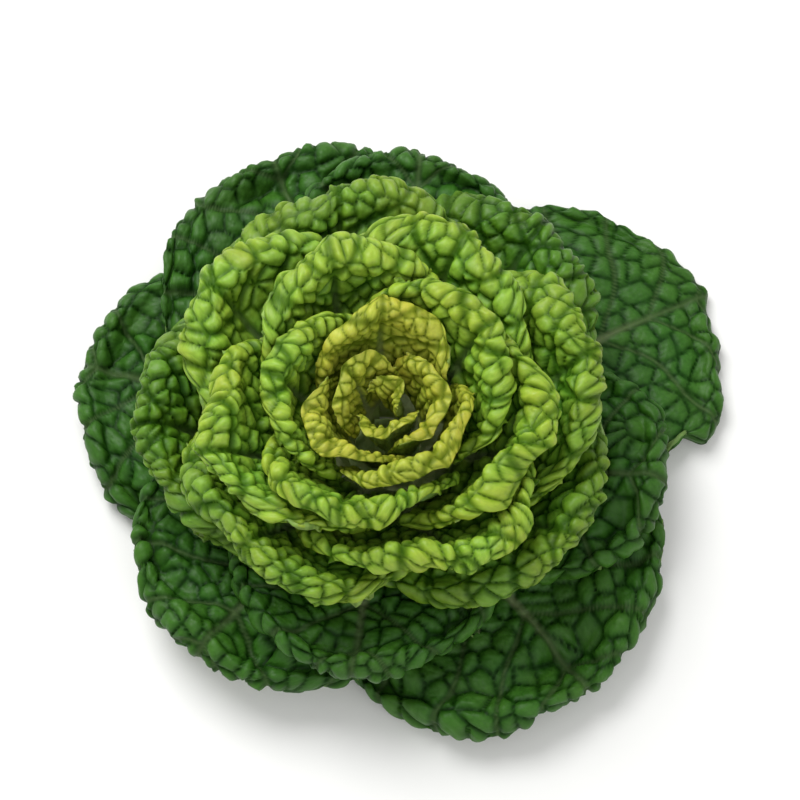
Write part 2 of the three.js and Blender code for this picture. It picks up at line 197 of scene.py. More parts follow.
@dataclass(frozen=True)
class Rosette:
    """The whole plant's driving dimensions, in millimetres and degrees."""

    count: int = 30
    heart_count: int = 7
    golden_angle: float = 137.508
    first_azimuth: float = 24.0
    azimuth_scatter: float = 14.0
    reach_scatter: float = 2.4
    lowest_leaf: float = 8.0
    highest_leaf: float = 42.0
    stem_profile: tuple = ((0, 11.5), (4, 13.5), (12, 15), (25, 12), (36, 6.5), (44, 1.5))
    stem_clearance: float = 1.2
    heart_radius: float = 3.0
    head_radius: float = 107.0
    heart_height: float = 70.0
    ring_rise: float = 15.0
    ring_radius: float = 34.0
    dome_drop: float = 66.0
    dome_radius: float = 105.0
    heart_half_width: float = 11.0
    largest_half_width: float = 67.0
    heart_bulge: float = 7.0
    largest_bulge: float = 16.0
    stem_widest: float = 18.0
    ring_shift: float = 13.0
    warp_length: float = 11.0
    warp_size: float = 3.4
    warp_start: float = 12.0
    outer: tuple[OuterLeaf, ...] = (
        OuterLeaf(24, 134, 12, 2, 1.22, 70, 9, ragged=5.5, puff=0.62, lobed=True),
        OuterLeaf(168, 109, 20, 24, 1.15, 125, 17),
        OuterLeaf(306, 117, 26, 32, 1.3, 160, 19),
        OuterLeaf(112, 111, 27, 18, 1.25, 105, 18, puff=1.25),
        OuterLeaf(234, 102, 33, 38, 1.15, 155, 18),
        OuterLeaf(345, 97, 36, 32, 0.85, 130, 17),
        OuterLeaf(82, 96, 40, 30, 1.0, 130, 17),
        OuterLeaf(264, 89, 44, 38, 1.0, 140, 17),
    )

    def figures(self, index: int) -> LeafFigures:
        """The figures of the leaf with that index, counted from the heart outwards."""
        age = index / (self.count - 1)
        settled = float(ease(age / 0.3))
        stem_z = mix(self.highest_leaf, self.lowest_leaf, age**0.85)
        heights, radii = zip(*self.stem_profile)
        foot = (float(np.interp(stem_z - 2, heights, radii)) + self.stem_clearance, stem_z)
        reach = mix(self.heart_radius, self.head_radius, age**0.95)
        reach += self.reach_scatter * (scatter(index, 2) - 0.5) * settled
        height = (
            self.heart_height
            + self.ring_rise * float(ease(reach / self.ring_radius))
            - self.dome_drop * (reach / self.dome_radius) ** 2.6
            + self.reach_scatter * (scatter(index, 3) - 0.5) * settled
        )
        azimuth = self.first_azimuth + (self.count - 1 - index) * self.golden_angle
        azimuth += self.azimuth_scatter * (scatter(index, 1) - 0.5)
        first_outer = self.count - len(self.outer)
        ring = Ring.HEART if index < self.heart_count else Ring.HEAD if index < first_outer else Ring.OUTER
        start = {Ring.HEART: 0, Ring.HEAD: self.heart_count, Ring.OUTER: first_outer}[ring]
        found = LeafFigures(
            index=index,
            number=index - start + 1,
            ring=ring,
            age=age,
            azimuth=math.radians(azimuth),
            foot=foot,
            shoulder=(reach, height),
            start_slope=math.radians(88 - 76 * age**0.75),
            slope=math.radians(92 - 26 * age - 80 * age**4),
            half_width=mix(self.heart_half_width, self.largest_half_width, 1 - math.exp(-2.9 * age)),
            squatness=mix(0.85, 0.62, settled),
            bulge=mix(self.heart_bulge, self.largest_bulge, float(ease(age / 0.4))),
            curl=math.radians(mix(70, 140, settled)),
            ragged=mix(0.6, 1.3, settled),
            puff=1.0,
        )
        if ring is not Ring.OUTER:
            return found
        own = self.outer[self.count - 1 - index]
        return replace(
            found,
            azimuth=math.radians(own.azimuth),
            shoulder=(own.reach, own.height),
            slope=math.radians(own.slope),
            half_width=found.half_width * own.width,
            bulge=own.bulge,
            curl=math.radians(own.curl),
            ragged=own.ragged,
            puff=own.puff,
            lobed=own.lobed,
        )

    def warp(self, p: np.ndarray) -> np.ndarray:
        """Bends space: slow sines sway the higher points, and the outer rings slide towards +Y.

        Args:
            p: places in mm, the last axis being x, y and z.

        Returns:
            The bent places.
        """
        x, y, z = p[..., 0], p[..., 1], p[..., 2]
        fade = ease((z - self.warp_start) / (self.heart_height - self.warp_start))
        s = 1 / self.warp_length
        sway_x = np.sin(y * s * 0.9 + 1.3) + 0.8 * np.sin(z * s + y * s * 0.5 + 4.1)
        sway_y = np.sin(x * s * 0.85 + 0.4) + 0.8 * np.sin(x * s * 0.5 - z * s + 2.2)
        sway_z = np.sin(x * s * 0.7 + 2.9) + 0.8 * np.sin(y * s * 0.75 + 5.0)
        size = 0.5 * self.warp_size * fade
        share = (np.hypot(x, y) - self.stem_widest) / (self.dome_radius - self.stem_widest)
        slide = self.ring_shift * ease(share)
        return np.stack([x + size * sway_x, y + size * sway_y + slide, z + size * sway_z], -1)


# ---- A leaf's shell and outline --------------------------------------------------------------------------


class Shell:
    """The rising curve a leaf lies on, in the (radius, height) half plane.

    It is a cubic from its foot to its shoulder, and goes straight on past both ends.
    """

    HANDLE_SHARE = 0.36
    STEPS = 240

    def __init__(self, figures: LeafFigures) -> None:
        """Tabulates the curve by its own length."""
        foot, shoulder = np.array(figures.foot), np.array(figures.shoulder)
        handle = self.HANDLE_SHARE * float(np.linalg.norm(shoulder - foot))
        self.start = np.array([math.cos(figures.start_slope), math.sin(figures.start_slope)])
        self.end = np.array([math.cos(figures.slope), math.sin(figures.slope)])
        t = np.linspace(0, 1, self.STEPS)[:, None]
        near, far = foot + handle * self.start, shoulder - handle * self.end
        ends = foot * (1 - t) ** 3 + shoulder * t**3
        self.points = ends + 3 * near * t * (1 - t) ** 2 + 3 * far * t**2 * (1 - t)
        self.lengths = np.concatenate([[0], np.cumsum(np.linalg.norm(np.diff(self.points, axis=0), axis=1))])
        self.length = float(self.lengths[-1])

    def at(self, y: np.ndarray) -> tuple[np.ndarray, np.ndarray]:
        """The (radius, height) at each length y."""
        past, before = np.maximum(y - self.length, 0), np.minimum(y, 0)
        radius = np.interp(y, self.lengths, self.points[:, 0]) + past * self.end[0] + before * self.start[0]
        height = np.interp(y, self.lengths, self.points[:, 1]) + past * self.end[1] + before * self.start[1]
        return radius, height

    def direction(self, y: np.ndarray) -> tuple[np.ndarray, np.ndarray]:
        """The unit tangent at each length y."""
        r1, z1 = self.at(y + 0.5)
        r0, z0 = self.at(y - 0.5)
        size = np.hypot(r1 - r0, z1 - z0)
        return (r1 - r0) / size, (z1 - z0) / size


class FlatLeaf:
    """A leaf pressed flat: a petiole that widens into a blade whose end is half an ellipse. Millimetres."""

    TIP_ANGLE = math.radians(58)
    ROLLED_SHARE = 0.75
    LONGEST_END = 0.52
    YOUNG_PETIOLE = 2.2
    PETIOLE_GROWTH = 3.6
    PETIOLE_SHARE = 0.132

    def __init__(self, figures: LeafFigures, shell_length: float) -> None:
        """Sets the outline from the leaf's figures and its shell's length."""
        self.length = shell_length + self.ROLLED_SHARE * figures.bulge
        self.half_width = figures.half_width
        self.end_length = min(figures.squatness * self.half_width, self.LONGEST_END * self.length)
        self.centre = self.length - self.end_length
        self.petiole_half_width = self.YOUNG_PETIOLE + self.PETIOLE_GROWTH * float(ease(figures.age / 0.5))
        self.petiole_end = self.PETIOLE_SHARE * self.length

    def width_at(self, y: np.ndarray) -> np.ndarray:
        """Half the leaf's width at each y."""
        along = (y - self.petiole_end) / (self.centre - self.petiole_end)
        sides = mix(self.petiole_half_width, self.half_width, ease(along))
        end = self.half_width * np.sqrt(np.clip(1 - ((y - self.centre) / self.end_length) ** 2, 0, 1))
        return np.where(y < self.centre, sides, end)

    def grid(self, u: np.ndarray, v: np.ndarray) -> tuple[np.ndarray, np.ndarray]:
        """The flat x and y of grid lines u, from -1 to 1 across, and v, from 0 to 1 along."""
        side = v * (self.centre + self.end_length * math.cos(self.TIP_ANGLE))
        least = math.cos(self.TIP_ANGLE)
        bow = self.end_length * (1 - least) * v**2.2
        x = self.width_at(side) * np.sin(u * self.TIP_ANGLE) / math.sin(self.TIP_ANGLE)
        return x, side + bow * (np.cos(u * self.TIP_ANGLE) - least) / (1 - least)

    def margin(self, x: np.ndarray, y: np.ndarray) -> tuple[np.ndarray, np.ndarray, np.ndarray]:
        """Distance from flat points to the margin, and the unit direction towards it."""
        dy = np.maximum(y - self.centre, 0)
        share = np.maximum(np.hypot(x / self.half_width, dy / self.end_length), 1e-3)
        radius = np.maximum(np.hypot(x, dy), 1e-6)
        end = y >= self.centre
        distance = np.where(end, (1 - share) * radius / share, self.width_at(y) - np.abs(x))
        return np.maximum(distance, 0), np.where(end, x / radius, np.sign(x)), np.where(end, dy / radius, 0)


# ---- The blistered surface -------------------------------------------------------------------------------


@dataclass(frozen=True)
class Savoy:
    """The blisters of one kind of leaf: sizes in millimetres."""

    cell: float
    relief: float
    vein_gap: float
    vein_crease: float
    slant: float = 0.75
    jitter: float = 0.78

    def cells(self, x: np.ndarray, y: np.ndarray, seed: float, size: float) -> tuple[np.ndarray, np.ndarray]:
        """Splits the blade into cells round scattered seeds, laid out along the side veins on each half.

        Args:
            x: distance from the midrib.
            y: distance along the leaf.
            seed: the pattern's own number.
            size: a cell's width.

        Returns:
            Distance to the nearest cell wall in mm, and one random number a cell.
        """
        half = np.where(x < 0, 17.0, 0.0) + seed
        a = np.abs(x)
        b = y - self.slant * a
        ia, ib = np.floor(a / size), np.floor(b / size)
        seeds = []
        for da in (-2, -1, 0, 1, 2):
            for db in (-2, -1, 0, 1, 2):
                ka, kb = ia + da, ib + db
                key = ka * 3.17 + kb * 7.31
                sa = (ka + 0.5 + self.jitter * (scatter(key, half + 1) - 0.5)) * size
                sb = (kb + 0.5 + self.jitter * (scatter(key, half + 2) - 0.5)) * size
                seeds.append((sa, sb + self.slant * sa, scatter(key, half + 3)))
        sx, sy, rank = (np.stack([s[i] for s in seeds]) for i in range(3))
        distance = np.hypot(sx - a, sy - y)
        nearest = np.argmin(distance, axis=0)[None]
        nx, ny = np.take_along_axis(sx, nearest, 0), np.take_along_axis(sy, nearest, 0)
        shade = np.take_along_axis(rank, nearest, 0)[0]
        apart = np.hypot(sx - nx, sy - ny)
        wall = ((sx - nx) * ((sx + nx) / 2 - a) + (sy - ny) * ((sy + ny) / 2 - y)) / np.maximum(apart, 1e-6)
        return np.where(apart < 1e-6, 99.0, wall).min(axis=0), shade

    def pattern(self, x: np.ndarray, y: np.ndarray, seed: float) -> dict[str, np.ndarray]:
        """Blister heights over flat points.

        A cell is a pillow: its height follows a quarter circle from the nearest cell wall, so that walls are
        sharp creases. Each pillow is split again into low lobes. The side veins and the midrib run in wider
        creases.

        Args:
            x: distance from the midrib.
            y: distance along the leaf.
            seed: the leaf's own number.

        Returns:
            Arrays: height in mm, rise from 0 in a crease to 1 on top, which the finish uses for painted shade,
                vein from 0 to 1, and shade, one random number a cell.
        """
        # Slow bends in the lines of cells keep them from looking laid out.
        bent_x = x + 1.4 * np.sin(y / 8.5 + seed) + 0.7 * np.sin(y / 3.9 + 2 * seed)
        bent_y = y + 1.4 * np.sin(x / 7.5 + 1.7 * seed) + 0.7 * np.sin(x / 3.3 + seed)
        wall, shade = self.cells(bent_x, bent_y, seed, self.cell)
        rise = np.clip(wall / (0.38 * self.cell), 0, 1)
        pillow = np.sqrt(1 - (1 - rise) ** 2)
        small_wall, _ = self.cells(bent_x, bent_y, seed + 50, 0.45 * self.cell)
        lobe = np.sqrt(1 - (1 - np.clip(small_wall / (0.17 * self.cell), 0, 1)) ** 2)
        a, b = np.abs(x), y - self.slant * np.abs(x)
        line = (b + 3.5 * np.sin(a / 17 + seed) + 1.2 * np.sin(a / 5.3 + 2 * seed)) / self.vein_gap
        to_side_vein = 0.8 * self.vein_gap * np.abs(line - np.floor(line) - 0.5)
        to_vein = np.minimum(a * 0.8, to_side_vein)
        sunk = ease(to_vein / self.vein_crease)
        height = self.relief * (mix(0.5, 1.15, shade) * pillow * mix(0.25, 1, sunk) + 0.13 * lobe * rise)
        vein = np.maximum(np.exp(-((to_side_vein / 0.55) ** 2)), np.exp(-((a / 1.1) ** 2)))
        # The colour mask below is painted shade: lowest in the creases and between small lobes, highest on
        # blister tops.
        painted_shade_tone = pillow * mix(0.3, 1, sunk) * mix(0.8, 1, lobe)
        return {"height": height, "rise": painted_shade_tone, "vein": vein, "shade": shade}


@dataclass(frozen=True)
class Grain:
    """How finely a leaf is divided: lines across and along it, both even for the underside's half grid."""

    across: int
    along: int


SAVOYS = {
    Ring.HEART: Savoy(cell=4.6, relief=1.7, vein_gap=12, vein_crease=1.6),
    Ring.HEAD: Savoy(cell=6.0, relief=2.8, vein_gap=16, vein_crease=2.0),
    Ring.OUTER: Savoy(cell=7.8, relief=2.5, vein_gap=21, vein_crease=1.9),
}
GRAINS = {Ring.HEART: Grain(104, 68), Ring.HEAD: Grain(152, 84), Ring.OUTER: Grain(152, 102)}


# ---- One leaf --------------------------------------------------------------------------------------------


@dataclass
class Leaf:
    """One leaf, petiole and blade, as a closed puckered sheet."""

    plan: Rosette
    figures: LeafFigures
    blade_thickness: float = 0.9
    rib_thickness: float = 2.6
    ground_clearance: float = 1.2
    ground_gap: float = 0.1
    sheet_allowance: float = 1.2
    clearance: float = 0.7
    tightest_roll: float = 2.2
    ruffle_share: float = 0.3
    wrap_extra: float = 3.0
    shell: Shell = field(init=False)
    flat: FlatLeaf = field(init=False)

    def __post_init__(self) -> None:
        """Works out the shell and the outline."""
        self.shell = Shell(self.figures)
        self.flat = FlatLeaf(self.figures, self.shell.length)

    def room(self, y: np.ndarray, azimuth: np.ndarray, others: list["Leaf"]) -> np.ndarray:
        """How far points of the shell can stand out before they meet a leaf outside this one, or the ground.

        Args:
            y: lengths along the shell.
            azimuth: the points' azimuths, in radians.
            others: the leaves outside this one.

        Returns:
            The free distances, in millimetres.
        """
        radius, height = self.shell.at(y)
        free = (height - self.ground_clearance) / np.maximum(self.shell.direction(y)[0], 0.1)
        for other in others:
            steps = np.linspace(0, other.shell.length, 25)
            r, z = other.shell.at(steps)
            half_angle = other.flat.width_at(steps) / (r + self.wrap_extra)
            turn = azimuth - other.figures.azimuth
            aside = np.abs(np.arctan2(np.sin(turn), np.cos(turn)))[..., None]
            beyond = np.maximum(0, aside - half_angle) * r
            near = np.sqrt((radius[..., None] - r) ** 2 + (height[..., None] - z) ** 2 + beyond**2)
            free = np.minimum(free, near.min(axis=-1))
        return free - self.clearance

    def limits(self, u: np.ndarray, v: np.ndarray, others: list["Leaf"]) -> np.ndarray:
        """How far the blade may stand out at each grid point.

        The free room is worked out on a coarse grid, softened, capped by the leaf's bulge and read smoothly.

        Args:
            u: grid lines across.
            v: grid lines along.
            others: the leaves outside this one.

        Returns:
            The distances over (v, u), in millimetres.
        """
        cu, cv = np.linspace(-1, 1, 41), np.linspace(0, 1, 33)
        gu, gv = np.meshgrid(cu, cv)
        x, y = self.flat.grid(gu, gv)
        azimuth = self.figures.azimuth + x / (self.shell.at(y)[0] + self.wrap_extra)
        free = self.room(y, azimuth, others) - self.sheet_allowance
        soft = np.pad(free, 1, mode="edge")
        soft = (soft[:-2, 1:-1] + soft[2:, 1:-1] + soft[1:-1, :-2] + soft[1:-1, 2:] + 2 * free) / 6
        coarse = np.clip(np.minimum(soft, free + 0.4), 0, self.figures.bulge)
        rows = np.stack([np.interp(u, cu, row) for row in coarse])
        fine = np.stack([np.interp(v, cv, column) for column in rows.T], 1)
        share = self.flat.grid(*np.meshgrid(u, v))[1] / self.flat.length
        return fine * ease((share - 0.3) / 0.4)

    def sheet(self, u: np.ndarray, v: np.ndarray, others: list["Leaf"]) -> dict[str, np.ndarray]:
        """The leaf's smooth sheet on a grid.

        The flat outline's margin turns outwards through an arc whose height is its share of the free room.
        Slow waves take the rest of the room, and the sheet is wrapped on its shell. Then space's warp bends it.

        Args:
            u: grid lines across.
            v: grid lines along.
            others: the leaves outside this one.

        Returns:
            Arrays over (v, u): point and outward normal in mm, flat x and y, and distance to the margin.
        """
        f, k = self.figures, self.figures.index
        x, y = self.flat.grid(*np.meshgrid(u, v))
        distance, to_x, to_y = self.flat.margin(x, y)
        limit = self.limits(u, v, others)
        across = x / self.flat.half_width
        past_centre = np.maximum(y - self.flat.centre, 0)
        around = np.arctan2(x / self.flat.half_width, past_centre / self.flat.end_length)

        # The margin is ragged: it is drawn in by slow and quick waves round the blade, and one leaf is torn
        # behind a pointed lobe.
        slow, quick = 0.3 * np.sin(around * 7 + k), 0.2 * np.sin(around * 17 + 2.3 * k)
        notch = 0.5 + slow + quick + 0.12 * np.sin(around * 41 + k)
        notch = f.ragged * notch
        if f.lobed:
            lobe = np.exp(-(((around + 0.78) / 0.13) ** 2))
            notch = notch * (1 - 0.9 * lobe) + 15 * ease((-around - 0.86) / 0.2) * ease((around + 1.45) / 0.3)
        pull = notch * ease(1 - distance / 18) * ease((y / self.flat.length - 0.35) / 0.3)

        uneven = 1 + 0.15 * np.sin(4.2 * across + 2 * math.pi * scatter(k, 5))
        roll_height = (1 - self.ruffle_share) * limit
        radius = np.maximum(roll_height / (1 - np.cos(f.curl * uneven)), self.tightest_roll)
        strip = radius * np.arccos(np.maximum(1 - roll_height / radius, -1))
        into = np.maximum(0, strip - distance)
        back = radius * np.sin(into / radius) - into - pull
        rise = radius * (1 - np.cos(into / radius))
        wave = (
            0.5
            + 0.3 * np.sin(x / 11 + 2 * math.pi * scatter(k, 7))
            + 0.2 * np.sin(x / 6.1 + y / 13 + 2 * math.pi * scatter(k, 8))
        )
        phase = 5 * scatter(k, 9)
        crimp = 0.5 + 0.5 * np.sin(around * (9 + 30 * f.age) + phase + 1.5 * np.sin(around * 5 + k))
        out = rise + self.ruffle_share * limit * wave * min(1.0, 3 * f.age)
        out = out + 0.07 * limit * crimp * ease(1 - distance / 9)
        if f.ring is Ring.OUTER:
            # A groove just inside the rolled margin sets it off as a thick rim.
            groove = np.exp(-(((distance - 1.3 * strip) / (0.4 * strip + 1)) ** 2))
            out = out + 0.38 * limit * groove * (0.6 + 0.4 * np.sin(around * 5 + k))
        corner = np.exp(-np.abs(x) / (5 + 9 * f.age))
        corner = corner + 0.7 * np.exp(-np.abs(np.abs(x) - 0.62 * self.flat.half_width) / 6)
        out = out + (0.22 * limit * corner if f.ring is not Ring.OUTER else 0)

        y2 = y + back * to_y
        r, z = self.shell.at(y2)
        dr, dz = self.shell.direction(y2)
        turn = f.azimuth + (x + back * to_x) / (r + self.wrap_extra)
        stands = r + dz * out
        points = np.stack([stands * np.cos(turn), stands * np.sin(turn), z - dr * out], -1)
        points = self.plan.warp(points)
        normal = np.cross(np.gradient(points, u, axis=1), np.gradient(points, v, axis=0))
        normal /= np.maximum(np.linalg.norm(normal, axis=-1, keepdims=True), 1e-9)
        return {"point": points, "normal": normal, "x": x, "y": y, "margin": distance}

    def faces(self, rows: int, columns: int, offset: int, flip: bool) -> np.ndarray:
        """The quads of one grid of points, numbered from offset."""
        ids = np.arange(rows * columns).reshape(rows, columns) + offset
        corners = [ids[:-1, :-1], ids[:-1, 1:], ids[1:, 1:], ids[1:, :-1]]
        return np.stack(corners[::-1] if flip else corners, -1).reshape(-1, 4)

    def rim(self, rows: int, columns: int, under_offset: int) -> np.ndarray:
        """The triangles that join the upper face's rim to the underside's, which has every second point."""

        def loop(r: int, c: int, offset: int) -> np.ndarray:
            ids = np.arange(r * c).reshape(r, c) + offset
            return np.concatenate([ids[0, :-1], ids[:-1, -1], ids[-1, :0:-1], ids[:0:-1, 0]])

        top = loop(rows, columns, 0)
        low = loop((rows + 1) // 2, (columns + 1) // 2, under_offset)
        first, middle, last = top[0::2], top[1::2], np.roll(top, -2)[0::2]
        here, there = low, np.roll(low, -1)
        sets = [(first, middle, here), (middle, last, there), (middle, there, here)]
        return np.concatenate([np.stack(s, -1) for s in sets])

    def build(self, others: list["Leaf"]) -> bpy.types.Object:
        """Makes the leaf's object.

        Args:
            others: the leaves outside this one.

        Returns:
            The closed mesh, with the attributes that its finish reads.
        """
        f = self.figures
        grain = GRAINS[f.ring]
        base = SAVOYS[f.ring]
        own_size = mix(0.9, 1.15, scatter(f.index, 12))
        savoy = replace(base, cell=base.cell * own_size, relief=base.relief * f.puff)
        u = np.linspace(-1, 1, grain.across + 1)
        bend = 0.62 if f.ring is Ring.OUTER else 0.5
        v = np.linspace(0, 1, grain.along + 1) ** bend
        data = self.sheet(u, v, others)
        cells = savoy.pattern(data["x"], data["y"], f.index)
        share = data["y"] / self.flat.length
        blade = ease((share - 0.16) / 0.22)
        edge = mix(0.35, 1, ease(data["margin"] / 4))
        uneven_puff = 1 + 0.25 * np.sin(data["x"] / 9 + 2 * f.index) * np.sin(data["y"] / 11 + f.index)
        puff = cells["height"] * blade * edge * uneven_puff
        inward = puff - 0.45 * savoy.relief * blade
        upper = data["point"] - data["normal"] * inward[..., None]

        rib_width = mix(1.6, self.flat.petiole_half_width, 1 - ease(share / 0.75))
        rib = self.rib_thickness * (1 - ease((share - 0.05) / 0.8))
        rib = rib * np.clip(1 - (data["x"] / rib_width) ** 2, 0, 1)
        ridge = 0.45 * cells["vein"] * blade
        depth = self.blade_thickness * mix(0.55, 1, ease(data["margin"] / 3)) + rib + ridge
        # The underside lies below the deepest crease beside each of its points, so that none cuts through.
        around = np.pad(inward, 1, mode="edge")
        lines = [around[i : i + len(v), j : j + len(u)] for i in (0, 1, 2) for j in (0, 1, 2)]
        lowest = np.min(lines, axis=0)
        under = (data["point"] + data["normal"] * (depth - lowest)[..., None])[::2, ::2]
        under[..., 2] = np.maximum(under[..., 2], self.ground_gap)

        rows, columns = len(v), len(u)
        low_rows, low_columns = under.shape[:2]
        quads = np.concatenate(
            [
                self.faces(rows, columns, 0, True),
                self.faces(low_rows, low_columns, rows * columns, False),
            ]
        )
        tris = self.rim(rows, columns, rows * columns)
        points = np.concatenate([upper.reshape(-1, 3), under.reshape(-1, 3)]) * MM
        item = add_mesh(f.name + "_visual", points, quads, tris)

        def both(values: np.ndarray, below: float = 1.0) -> np.ndarray:
            return np.concatenate([values.reshape(-1), below * values[::2, ::2].reshape(-1)])

        flat_place = np.stack([data["x"], data["y"], np.full_like(share, 37.0 * f.index)], -1)
        flat_under = flat_place[::2, ::2].reshape(-1, 3) + np.array([0.0, 0.0, 11.0])
        add_attribute(item, "flat", np.concatenate([flat_place.reshape(-1, 3), flat_under]))
        # The rise attribute carries the painted crease shade to the finish.
        add_attribute(item, "rise", both(cells["rise"] * blade))
        add_attribute(item, "vein", both(cells["vein"] * blade))
        add_attribute(item, "shade", both(cells["shade"]))
        add_attribute(item, "margin", both(data["margin"]))
        stalk = 1 - blade * (1 - np.clip(rib / self.rib_thickness, 0, 1) * 0.6)
        add_attribute(item, "stalk", both(stalk))
        add_attribute(item, "age", np.full(len(points), f.age))
        below = np.concatenate([np.zeros(upper.shape[0] * upper.shape[1]), np.ones(low_rows * low_columns)])
        add_attribute(item, "underside", below)
        return item


@dataclass
class Stem:
    """The short stem: a lathe of its profile, faintly ribbed, with a flat cut face at the bottom."""

    plan: Rosette
    sides: int = 64
    rings: int = 60
    rib_depth: float = 0.35
    cut_below: float = 1e-5

    def build(self) -> bpy.types.Object:
        """Makes the stem. Every ring is a circle whose radius is read off the profile, less shallow ribs."""
        heights, radii = zip(*self.plan.stem_profile)
        z = np.linspace(0, heights[-1], self.rings)
        r = np.interp(z, heights, radii)
        angle = np.linspace(0, 2 * math.pi, self.sides, endpoint=False)
        ribs = self.rib_depth * ease(z / 2)[:, None] * (0.5 + 0.5 * np.sin(angle * 11 + 0.08 * z[:, None]))
        ribs = np.minimum(ribs, 0.2 * r[:, None])
        ring = r[:, None] - ribs
        level = np.broadcast_to(z[:, None], ring.shape)
        wall = np.stack([ring * np.cos(angle), ring * np.sin(angle), level], -1)
        face = np.array([0.2, 0.45, 0.7, 0.9])[:, None] * r[0]
        flat = np.stack([face * np.cos(angle), face * np.sin(angle), np.zeros((4, self.sides))], -1)
        points = np.concatenate([flat, wall]).reshape(-1, 3)
        points = np.concatenate([points, [[0, 0, 0], [0, 0, heights[-1] + 1]]]) * MM
        count = self.rings + 4
        ids = np.arange(count * self.sides).reshape(count, self.sides)
        beside = np.roll(ids, -1, axis=1)
        quads = np.stack([ids[:-1], beside[:-1], beside[1:], ids[1:]], -1).reshape(-1, 4)
        low, high = count * self.sides, count * self.sides + 1
        fan = np.concatenate(
            [
                np.stack([beside[0], ids[0], np.full(self.sides, low)], -1),
                np.stack([ids[-1], beside[-1], np.full(self.sides, high)], -1),
            ]
        )
        item = add_mesh("stem_visual", points, quads, fan)
        add_attribute(item, "cut", (points[:, 2] < self.cut_below).astype(float))
        return item


# ---- Finishes --------------------------------------------------------------------------------------------


class Nodes:
    """Adds a material's shader nodes."""

    def __init__(self, name: str) -> None:
        """Starts an empty material of that name with a Principled shader."""
        self.material = bpy.data.materials.new(name)
        self.material.use_nodes = True
        self.tree = self.material.node_tree
        self.tree.nodes.clear()
        self.shader = self.add("ShaderNodeBsdfPrincipled")
        output = self.add("ShaderNodeOutputMaterial")
        self.tree.links.new(self.shader.outputs[0], output.inputs["Surface"])

    def add(self, kind: str, inputs: dict | None = None, **settings) -> bpy.types.Node:
        """Adds a node, sets its properties, and sets or links its inputs.

        Args:
            kind: the node's type.
            inputs: socket name or number to a value or to another node's output.
            settings: the node's own properties.

        Returns:
            The node.
        """
        node = self.tree.nodes.new(kind)
        for key, value in settings.items():
            setattr(node, key, value)
        for key, value in (inputs or {}).items():
            if isinstance(value, Socket):
                self.tree.links.new(value, node.inputs[key])
            else:
                node.inputs[key].default_value = value
        return node

    def attribute(self, name: str, output: str = "Fac") -> Socket:
        """The value or vector of a piece's own attribute."""
        return self.add("ShaderNodeAttribute", attribute_name=name).outputs[output]

    def maths(self, kind: str, a: Sum, b: Sum, c: Sum = 0.0, clamp: bool = False) -> Socket:
        """A sum on two or three numbers or outputs."""
        return self.add("ShaderNodeMath", {0: a, 1: b, 2: c}, operation=kind, use_clamp=clamp).outputs[0]

    def blend(self, share: Sum, a: Paint, b: Paint, kind: str = "MIX") -> Socket:
        """The colour that is the share of the way from a to b. Either is a hex colour or an output."""
        a, b = (linear(c) if isinstance(c, str) else c for c in (a, b))
        sockets = {0: share, 6: a, 7: b}
        return self.add("ShaderNodeMix", sockets, data_type="RGBA", blend_type=kind).outputs[2]

    def feed(self, name: str, value: Sum | tuple[float, ...]) -> None:
        """Sets or links one of the shader's own inputs."""
        if isinstance(value, Socket):
            self.tree.links.new(value, self.shader.inputs[name])
        else:
            self.shader.inputs[name].default_value = value


# How many there are to a millimetre of leaf: patches are 17 mm wide, mottle 1.1, lobes 2.4 and pores 0.45.
PATCHES, MOTTLE, LOBES, PORES = 0.06, 0.9, 0.42, 2.2

# How many there are to a metre of stem: streaks are 1.1 mm wide and 17 mm long, and pith cells are 1.4 mm,
# which is coarser than the real ones so that they show.
STREAKS, PITH_CELLS = (900.0, 900.0, 60.0), 700.0


